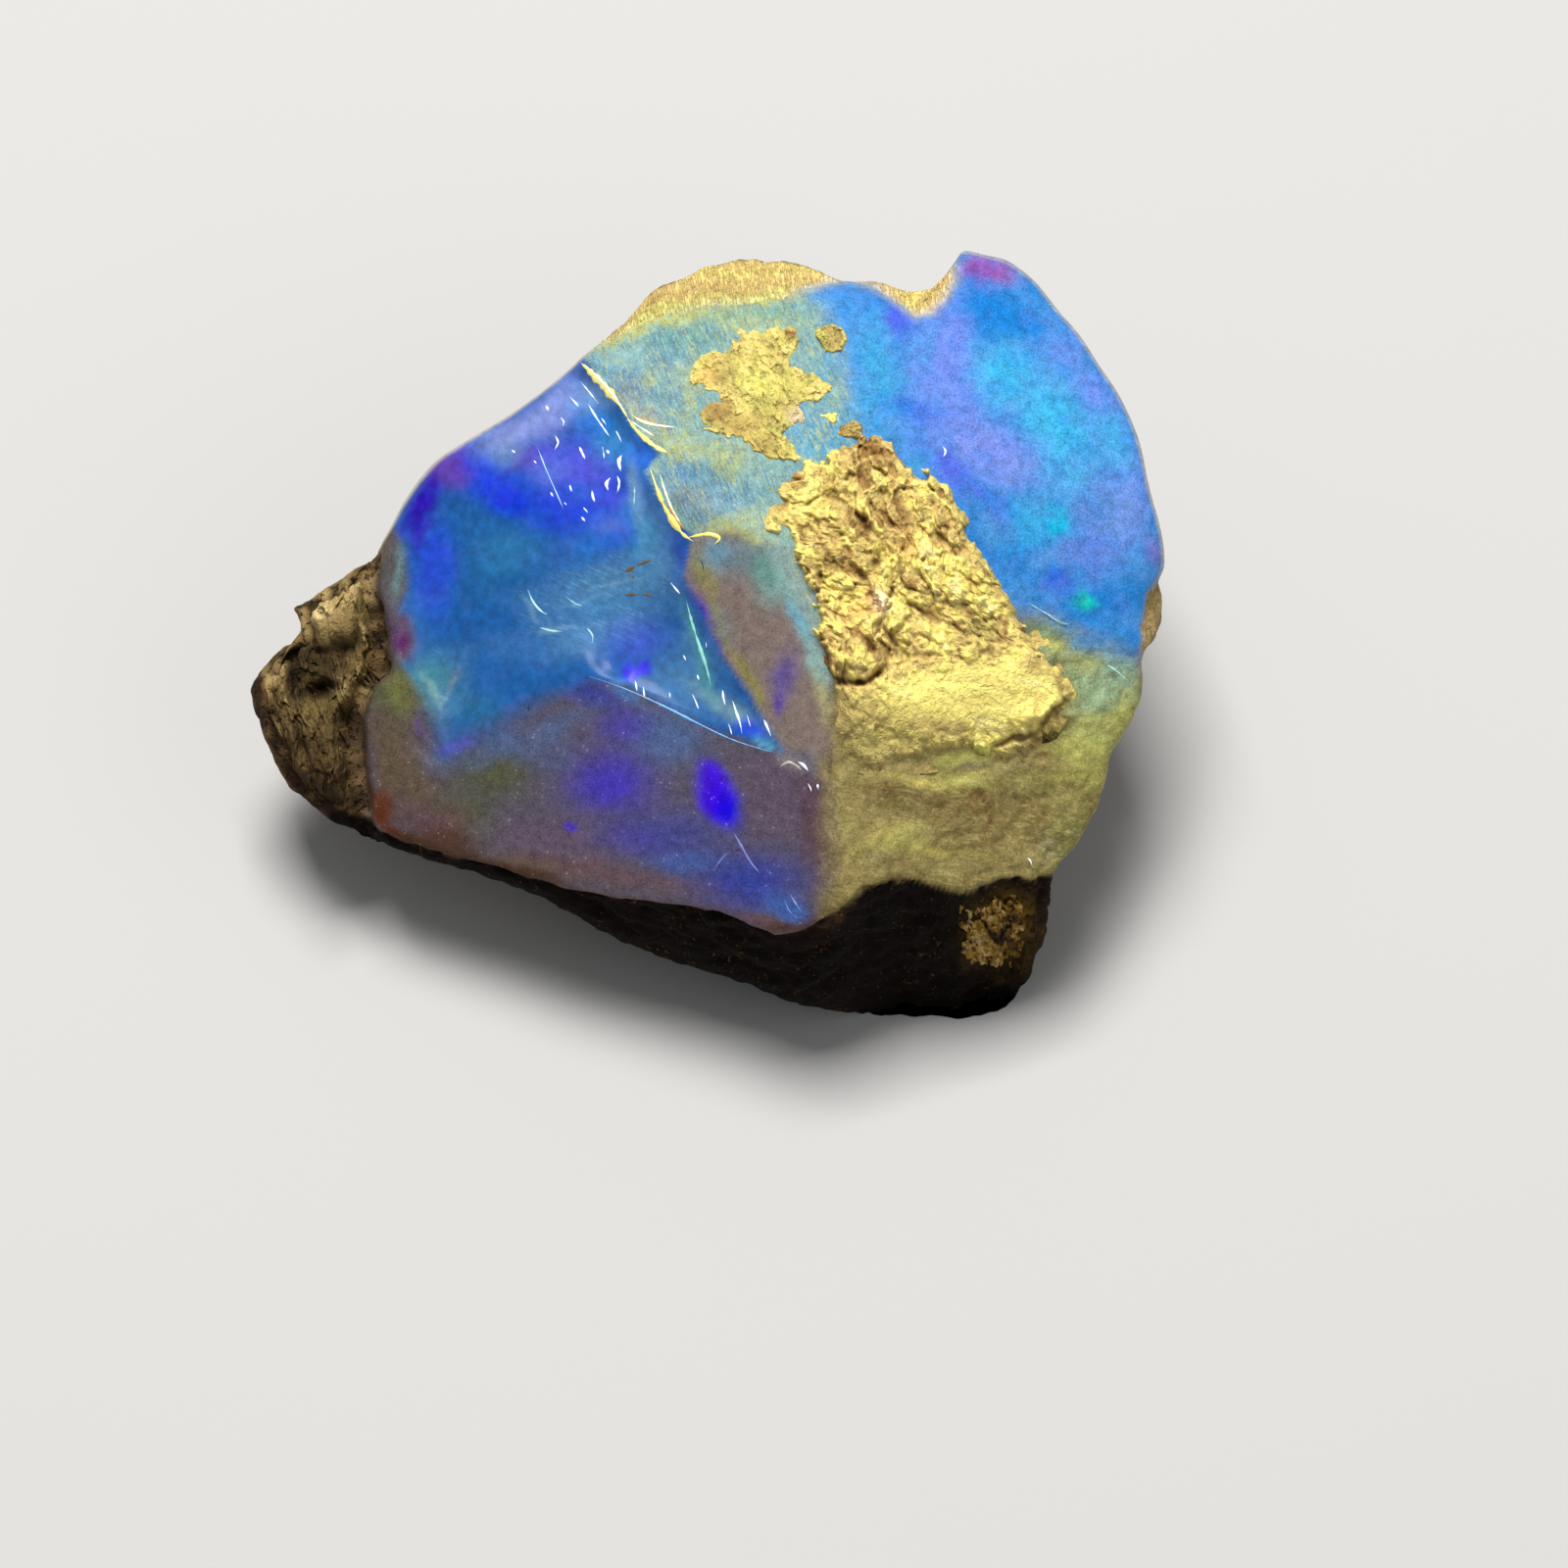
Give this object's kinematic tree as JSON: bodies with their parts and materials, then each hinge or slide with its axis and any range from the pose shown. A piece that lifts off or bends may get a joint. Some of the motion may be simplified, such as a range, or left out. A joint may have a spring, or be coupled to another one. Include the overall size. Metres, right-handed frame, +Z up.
{
  "type": "rough opal",
  "caption": "Rough opal nodule lying on its flat underside, broken open at the front to a glassy scooped face and a frosted facet, with crumbly host rock left on its edges and back.",
  "frame": {"origin": "middle of the stone's box, on the level underside that it rests on", "axes": "+Z up from the surface it lies on, +X along its longest side towards the domed end, -Y towards the lower edge of the broken front"},
  "size_m": [0.023, 0.0168, 0.0129],
  "materials": {
    "opal": "gloss",
    "host_rock": "matte"
  },
  "bodies": {
    "root": {"opal_nodule": "opal"}
  },
  "joints": []
}
